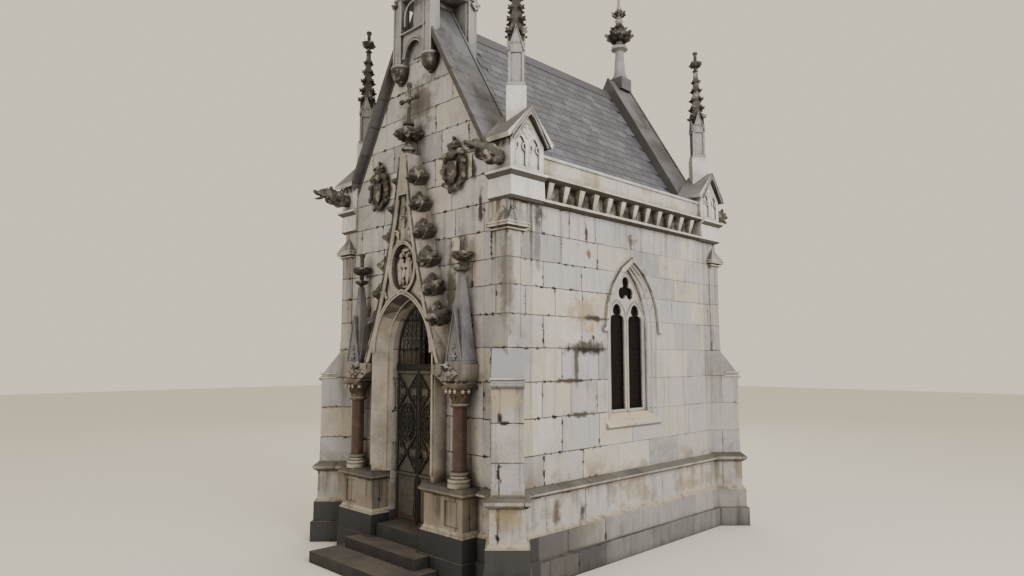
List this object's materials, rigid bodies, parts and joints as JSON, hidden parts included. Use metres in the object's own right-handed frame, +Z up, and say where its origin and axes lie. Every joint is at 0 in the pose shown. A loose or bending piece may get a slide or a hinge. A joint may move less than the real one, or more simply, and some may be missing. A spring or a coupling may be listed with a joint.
{
  "type": "mausoleum",
  "caption": "Small Gothic Revival burial chapel of pale cut limestone with a gabled portal, bell turret, corner pinnacles, slate roof and a double iron door that opens inwards.",
  "frame": {"origin": "middle of the walls' plan, on the ground under the floor slab", "axes": "+X to the right for someone who faces the door, +Y from the door towards the back, +Z up"},
  "size_m": [4.9878, 7.2953, 11.05],
  "materials": {
    "limestone": "tooled, weathered",
    "crusted_limestone": "carved, with a dark crust",
    "step_stone": "worn",
    "marble": "dull polish",
    "capital_stone": "carved, stained",
    "slate": "riven",
    "zinc": "dull",
    "iron": "worn paint",
    "dark_glazing": "dark"
  },
  "bodies": {
    "root": {"front_gable_wall": "limestone", "rear_gable_wall": "limestone", "portal_gable": "limestone", "mandorla_relief": "limestone", "bell_turret": "limestone", "side_wall_left": "limestone", "window_tracery_left": "limestone", "side_cornice_left": "limestone", "portal_plinth_left": "limestone", "column_base_left": "limestone", "impost_block_left": "limestone", "portal_pinnacle_left": "crusted_limestone", "coat_of_arms_left": "crusted_limestone", "front_coping_left": "crusted_limestone", "window_glazing_left": "dark_glazing", "gutter_left": "zinc", "column_shaft_left": "marble", "column_capital_left": "capital_stone", "side_wall_right": "limestone", "window_tracery_right": "limestone", "side_cornice_right": "limestone", "portal_plinth_right": "limestone", "column_base_right": "limestone", "impost_block_right": "limestone", "portal_pinnacle_right": "crusted_limestone", "coat_of_arms_right": "crusted_limestone", "front_coping_right": "crusted_limestone", "window_glazing_right": "dark_glazing", "gutter_right": "zinc", "column_shaft_right": "marble", "column_capital_right": "capital_stone", "corner_pier_front_left": "limestone", "corner_block_front_left": "limestone", "pinnacle_front_left": "limestone", "gargoyle_front_left": "crusted_limestone", "corner_pier_front_right": "limestone", "corner_block_front_right": "limestone", "pinnacle_front_right": "limestone", "gargoyle_front_right": "crusted_limestone", "corner_pier_rear_left": "limestone", "corner_block_rear_left": "limestone", "pinnacle_rear_left": "limestone", "gargoyle_rear_left": "crusted_limestone", "corner_pier_rear_right": "limestone", "corner_block_rear_right": "limestone", "pinnacle_rear_right": "limestone", "gargoyle_rear_right": "crusted_limestone", "rear_coping": "crusted_limestone", "rear_finial": "crusted_limestone", "portal_finial": "crusted_limestone", "floor_slab": "step_stone", "step_lower": "step_stone", "step_middle": "step_stone", "threshold": "step_stone", "slate_roof": "slate", "tympanum_grille": "iron"},
    "left_leaf": {"door_leaf_left": "iron"},
    "right_leaf": {"door_leaf_right": "iron"}
  },
  "joints": [
    {"name": "left_leaf_hinge", "type": "hinge", "parent": "root", "child": "left_leaf", "pos_m": [-0.548, -2.61, 0.51], "axis": [0, 0, 1], "range_deg": [0, 88]},
    {"name": "right_leaf_hinge", "type": "hinge", "parent": "root", "child": "right_leaf", "pos_m": [0.548, -2.61, 0.51], "axis": [0, 0, 1], "range_deg": [-88, 0]}
  ]
}
